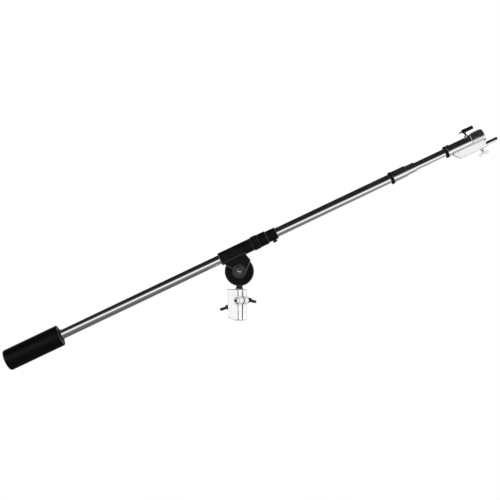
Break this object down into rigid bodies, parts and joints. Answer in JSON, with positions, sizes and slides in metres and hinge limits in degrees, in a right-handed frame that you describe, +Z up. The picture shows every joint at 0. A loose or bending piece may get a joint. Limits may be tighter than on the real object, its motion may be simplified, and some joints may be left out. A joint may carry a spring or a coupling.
{
  "type": "overhead boom arm",
  "caption": "Counterweighted telescopic boom arm with a tilting, panning stand socket at its pivot and a spigot socket and pin at the load end.",
  "frame": {"origin": "centre of the stand socket's mouth, on the stem's axis", "axes": "+Z up the stem, +X towards the load end of the boom, which tilts up by 25.4 degrees at rest"},
  "size_m": [1.8236, 0.1235, 0.9003],
  "materials": {
    "cast_silver": "satin cast aluminium",
    "bright_steel": "turned and polished",
    "dark_steel": "black oxide",
    "black_cast": "black powder coat over a casting",
    "black_coat": "smooth black paint",
    "chrome_tube": "polished chrome plate",
    "zinc_plate": "satin zinc plate",
    "raw_steel": "sawn steel bar",
    "nylon": "natural nylon",
    "black_plastic": "moulded black plastic",
    "friction_pad": "pressed friction lining"
  },
  "bodies": {
    "receiver": {"receiver_block": "cast_silver", "clamp_nut": "bright_steel"},
    "clamp_screw": {"clamp_screw": "dark_steel", "clamp_wing_washer": "dark_steel"},
    "clamp_wing": {"clamp_wing": "black_cast"},
    "stand_lock_screw": {"stand_lock_screw": "dark_steel", "stand_lock_pad": "nylon"},
    "stand_lock_wing": {"stand_lock_wing": "black_cast"},
    "swivel": {"pivot_base": "black_cast", "foot_washer": "nylon", "keeper_washer": "bright_steel", "keeper_screw": "dark_steel", "friction_lining": "friction_pad", "back_washer": "bright_steel"},
    "boom_head": {"boom_sleeve": "black_cast", "pivot_stud": "bright_steel", "stud_washer": "dark_steel", "stud_nut": "dark_steel", "sleeve_collet": "nylon", "nose": "black_cast"},
    "tilt_handle": {"tilt_handle_hub": "black_cast", "tilt_handle_bar": "bright_steel", "tilt_bar_knobs": "black_plastic", "disc_spring": "dark_steel"},
    "liners": {"sleeve_liners": "nylon"},
    "lock_ring": {"grip_ring": "black_plastic", "lock_nut": "black_cast"},
    "thumb_screw": {"thumb_screw": "bright_steel"},
    "thumb_knob": {"thumb_knob": "black_plastic"},
    "boom": {"main_tube": "chrome_tube", "main_tube_plug": "black_plastic", "tube_stop_bush": "nylon", "lock_collet": "nylon"},
    "telescope_lock": {"telescope_grip": "black_plastic", "lock_sleeve": "chrome_tube", "lock_tail": "chrome_tube"},
    "counterweight": {"weight_core": "raw_steel", "weight_coat": "black_coat", "weight_end_plates": "zinc_plate", "weight_hub": "black_cast", "weight_set_screws": "dark_steel"},
    "extension": {"inner_tube": "chrome_tube", "inner_guide_bush": "nylon", "end_ring": "black_plastic", "end_sleeve": "chrome_tube", "end_socket": "bright_steel", "pin_block": "cast_silver", "end_rivets": "bright_steel"},
    "socket_lock_screw": {"socket_lock_screw": "dark_steel"},
    "socket_lock_handle": {"socket_lock_handle": "black_cast"},
    "pin_lock_screw": {"pin_lock_screw": "bright_steel"},
    "pin_lock_wing": {"pin_lock_wing": "cast_silver"},
    "baby_pin": {"baby_pin": "chrome_tube"}
  },
  "joints": [
    {"name": "pan", "type": "hinge", "parent": "receiver", "child": "swivel", "pos_m": [0, 0, 0.114], "axis": [0, 0, 1], "continuous": true},
    {"name": "tilt", "type": "hinge", "parent": "swivel", "child": "boom_head", "pos_m": [0, 0, 0.1801], "axis": [0, -1, 0], "range_deg": [-90, 40]},
    {"name": "tilt_lock_turn", "type": "hinge", "parent": "boom_head", "child": "tilt_handle", "pos_m": [0, 0.045, 0.1801], "axis": [0, 1, 0], "range_deg": [-120, 60]},
    {"name": "boom_roll", "type": "hinge", "parent": "boom_head", "child": "liners", "pos_m": [-0.01196, 0, 0.25191], "axis": [0.9033, 0, 0.4289], "continuous": true},
    {"name": "boom_slide", "type": "slide", "parent": "liners", "child": "boom", "axis": [0.9033, 0, 0.4289], "range_m": [-0.455, 0.63]},
    {"name": "lock_ring_turn", "type": "hinge", "parent": "boom_head", "child": "lock_ring", "pos_m": [0.06934, 0, 0.29052], "axis": [0.9033, 0, 0.4289], "range_deg": [-90, 15]},
    {"name": "telescope", "type": "slide", "parent": "boom", "child": "extension", "axis": [0.9033, 0, 0.4289], "range_m": [-0.12, 0.95]},
    {"name": "telescope_lock_turn", "type": "hinge", "parent": "boom", "child": "telescope_lock", "pos_m": [0.60231, 0, 0.54359], "axis": [0.9033, 0, 0.4289], "range_deg": [-90, 15]},
    {"name": "counterweight_slide", "type": "slide", "parent": "boom", "child": "counterweight", "axis": [-0.9033, 0, -0.4289], "range_m": [0, 0.21]},
    {"name": "baby_pin_slide", "type": "slide", "parent": "extension", "child": "baby_pin", "axis": [0.9033, 0, 0.4289], "range_m": [0, 0.03]},
    {"name": "clamp_screw_slide", "type": "slide", "parent": "receiver", "child": "clamp_screw", "axis": [0.766, 0.6428, 0], "range_m": [0, 0.003]},
    {"name": "clamp_wing_turn", "type": "hinge", "parent": "clamp_screw", "child": "clamp_wing", "pos_m": [0.03072, 0.00228, 0.074], "axis": [0.766, 0.6428, 0], "range_deg": [0, 721]},
    {"name": "stand_lock_screw_slide", "type": "slide", "parent": "receiver", "child": "stand_lock_screw", "axis": [-0.6428, 0.766, 0], "range_m": [0, 0.006]},
    {"name": "stand_lock_wing_turn", "type": "hinge", "parent": "stand_lock_screw", "child": "stand_lock_wing", "pos_m": [-0.03857, 0.04596, 0.046], "axis": [-0.6428, 0.766, 0], "range_deg": [0, 1441]},
    {"name": "thumb_screw_slide", "type": "slide", "parent": "boom_head", "child": "thumb_screw", "axis": [0.4289, 0, -0.9033], "range_m": [0, 0.003]},
    {"name": "thumb_knob_turn", "type": "hinge", "parent": "thumb_screw", "child": "thumb_knob", "pos_m": [0.1321, 0, 0.29264], "axis": [0.4289, 0, -0.9033], "range_deg": [0, 1081]},
    {"name": "socket_lock_slide", "type": "slide", "parent": "extension", "child": "socket_lock_screw", "axis": [-0.4289, 0, 0.9033], "range_m": [0, 0.006]},
    {"name": "socket_lock_turn", "type": "hinge", "parent": "socket_lock_screw", "child": "socket_lock_handle", "pos_m": [0.82939, 0, 0.69016], "axis": [-0.4289, 0, 0.9033], "range_deg": [0, 1729]},
    {"name": "pin_lock_slide", "type": "slide", "parent": "extension", "child": "pin_lock_screw", "axis": [0.4289, 0, -0.9033], "range_m": [0, 0.006]},
    {"name": "pin_lock_turn", "type": "hinge", "parent": "pin_lock_screw", "child": "pin_lock_wing", "pos_m": [0.89476, 0, 0.6271], "axis": [0.4289, 0, -0.9033], "range_deg": [0, 1729]}
  ],
  "couplings": [
    {"joint": "clamp_wing_turn", "follows": "clamp_screw_slide", "rad_per_m": 4188.8},
    {"joint": "stand_lock_wing_turn", "follows": "stand_lock_screw_slide", "rad_per_m": 4188.8},
    {"joint": "thumb_knob_turn", "follows": "thumb_screw_slide", "rad_per_m": 6283.2},
    {"joint": "socket_lock_turn", "follows": "socket_lock_slide", "rad_per_m": 5026.5},
    {"joint": "pin_lock_turn", "follows": "pin_lock_slide", "rad_per_m": 5026.5}
  ]
}
